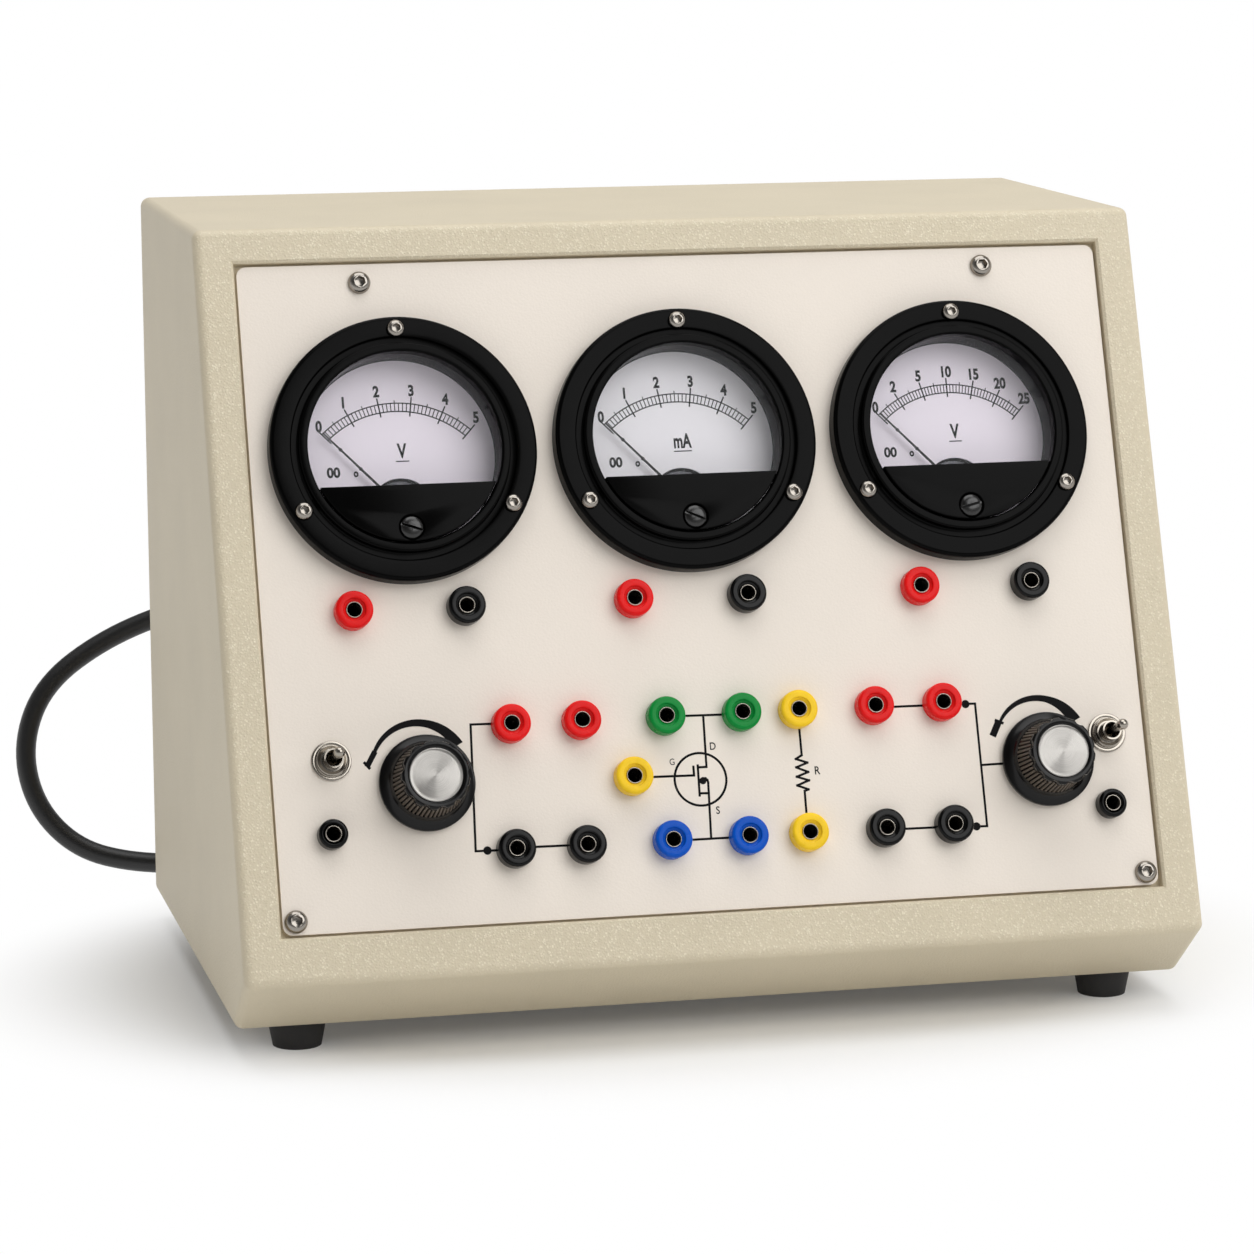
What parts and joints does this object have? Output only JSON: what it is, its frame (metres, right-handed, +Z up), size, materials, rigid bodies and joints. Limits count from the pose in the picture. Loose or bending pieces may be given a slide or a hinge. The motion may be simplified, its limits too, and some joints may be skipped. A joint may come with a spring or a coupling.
{
  "type": "transistor characteristics trainer",
  "caption": "Sloping-front electronics teaching console with round panel meters, control knobs, toggle switches, colour-coded 4 mm sockets and a mains lead.",
  "frame": {"origin": "on the bench under the middle of the case and its feet; the mains lead isn't counted", "axes": "+X to the right along the case's width as its user sees it, +Y to the back, +Z up; the panel faces -Y and leans back"},
  "size_m": [0.3384, 0.3255, 0.2445],
  "materials": {
    "case_paint": "satin cream paint with a fine grain",
    "panel_paint": "satin off-white paint with black printing",
    "screw_steel": "bright steel button heads with hexagon sockets",
    "foot_rubber": "matt black rubber",
    "meter_plastic": "polished black moulding",
    "window_glass": "clear window",
    "dial_lilac": "satin pale lilac dial with black printing",
    "dial_white": "satin white dial with black printing",
    "pointer_black": "aluminium painted black",
    "movement_iron": "dark magnet steel",
    "red_plastic": "glossy red moulding",
    "black_plastic": "glossy black moulding",
    "green_plastic": "glossy green moulding",
    "yellow_plastic": "glossy yellow moulding",
    "blue_plastic": "glossy blue moulding",
    "socket_nickel": "nickel plate",
    "knob_plastic": "black moulding, satin flutes and polished skirt",
    "spun_aluminium": "spun face with radial highlights",
    "shaft_brass": "turned brass",
    "potentiometer_metal": "plain can",
    "switch_chrome": "polished nickel plate",
    "core_iron": "varnished laminations",
    "winding_tape": "copper winding under yellow tape",
    "board_laminate": "green glass-fibre board",
    "board_part_plastic": "dark component cases",
    "spacer_brass": "plain brass",
    "black_rubber": "satin black moulded rubber",
    "cord_rubber": "satin black sheath",
    "pin_brass": "polished brass"
  },
  "bodies": {
    "trainer": {"case": "case_paint", "rear_cover": "case_paint", "rear_cover_screws": "screw_steel", "feet": "foot_rubber", "foot_screws": "screw_steel", "front_panel": "panel_paint", "panel_screws": "screw_steel", "meter_screws": "screw_steel", "meter_nuts": "screw_steel", "meter_cans": "meter_plastic", "meter_movements": "movement_iron", "red_socket_caps": "red_plastic", "black_socket_caps": "black_plastic", "green_socket_caps": "green_plastic", "yellow_socket_caps": "yellow_plastic", "blue_socket_caps": "blue_plastic", "socket_sleeves": "socket_nickel", "socket_nuts": "black_plastic", "left_potentiometer": "potentiometer_metal", "right_potentiometer": "potentiometer_metal", "potentiometer_nuts": "socket_nickel", "left_toggle_switch": "switch_chrome", "right_toggle_switch": "switch_chrome", "toggle_nuts": "switch_chrome", "transformer_core": "core_iron", "transformer_winding": "winding_tape", "circuit_board": "board_laminate", "board_parts": "board_part_plastic", "board_spacers": "spacer_brass", "cord_gland": "black_rubber", "cord_lead": "cord_rubber", "cord_coil": "cord_rubber", "plug_body": "black_rubber", "plug_pins": "pin_brass", "left_meter_flange": "meter_plastic", "left_meter_window": "window_glass", "left_meter_dial": "dial_lilac", "left_meter_cover": "meter_plastic", "centre_meter_flange": "meter_plastic", "centre_meter_window": "window_glass", "centre_meter_dial": "dial_white", "centre_meter_cover": "meter_plastic", "right_meter_flange": "meter_plastic", "right_meter_window": "window_glass", "right_meter_dial": "dial_lilac", "right_meter_cover": "meter_plastic"},
    "left_pointer": {"left_meter_pointer": "pointer_black"},
    "left_zero_adjuster": {"left_zero_screw": "meter_plastic"},
    "centre_pointer": {"centre_meter_pointer": "pointer_black"},
    "centre_zero_adjuster": {"centre_zero_screw": "meter_plastic"},
    "right_pointer": {"right_meter_pointer": "pointer_black"},
    "right_zero_adjuster": {"right_zero_screw": "meter_plastic"},
    "left_control": {"left_knob": "knob_plastic", "left_knob_cap": "spun_aluminium", "left_pot_shaft": "shaft_brass"},
    "right_control": {"right_knob": "knob_plastic", "right_knob_cap": "spun_aluminium", "right_pot_shaft": "shaft_brass"},
    "left_lever": {"left_toggle_lever": "switch_chrome"},
    "right_lever": {"right_toggle_lever": "switch_chrome"}
  },
  "joints": [
    {"name": "left_pointer_swing", "type": "hinge", "parent": "trainer", "child": "left_pointer", "pos_m": [-0.0904, -0.05199, 0.16156], "axis": [0, 0.9352, -0.3542], "range_deg": [0, 86], "stiffness_Nm_per_rad": 0.001},
    {"name": "left_zero_turn", "type": "hinge", "parent": "trainer", "child": "left_zero_adjuster", "pos_m": [-0.0904, -0.06152, 0.15672], "axis": [0, 0.9352, -0.3542], "continuous": true},
    {"name": "centre_pointer_swing", "type": "hinge", "parent": "trainer", "child": "centre_pointer", "pos_m": [-0.0021, -0.05199, 0.16156], "axis": [0, 0.9352, -0.3542], "range_deg": [0, 86], "stiffness_Nm_per_rad": 0.001},
    {"name": "centre_zero_turn", "type": "hinge", "parent": "trainer", "child": "centre_zero_adjuster", "pos_m": [-0.0021, -0.06152, 0.15672], "axis": [0, 0.9352, -0.3542], "continuous": true},
    {"name": "right_pointer_swing", "type": "hinge", "parent": "trainer", "child": "right_pointer", "pos_m": [0.0862, -0.05199, 0.16156], "axis": [0, 0.9352, -0.3542], "range_deg": [0, 86], "stiffness_Nm_per_rad": 0.001},
    {"name": "right_zero_turn", "type": "hinge", "parent": "trainer", "child": "right_zero_adjuster", "pos_m": [0.0862, -0.06152, 0.15672], "axis": [0, 0.9352, -0.3542], "continuous": true},
    {"name": "left_knob_turn", "type": "hinge", "parent": "trainer", "child": "left_control", "pos_m": [-0.0907, -0.08217, 0.08188], "axis": [0, 0.9352, -0.3542], "range_deg": [0, 300]},
    {"name": "right_knob_turn", "type": "hinge", "parent": "trainer", "child": "right_control", "pos_m": [0.1047, -0.08312, 0.07936], "axis": [0, 0.9352, -0.3542], "range_deg": [0, 300]},
    {"name": "left_lever_throw", "type": "hinge", "parent": "trainer", "child": "left_lever", "pos_m": [-0.119, -0.08069, 0.0903], "axis": [1, 0, 0], "range_deg": [-13, 13]},
    {"name": "right_lever_throw", "type": "hinge", "parent": "trainer", "child": "right_lever", "pos_m": [0.1251, -0.08196, 0.08694], "axis": [1, 0, 0], "range_deg": [-13, 13]}
  ]
}
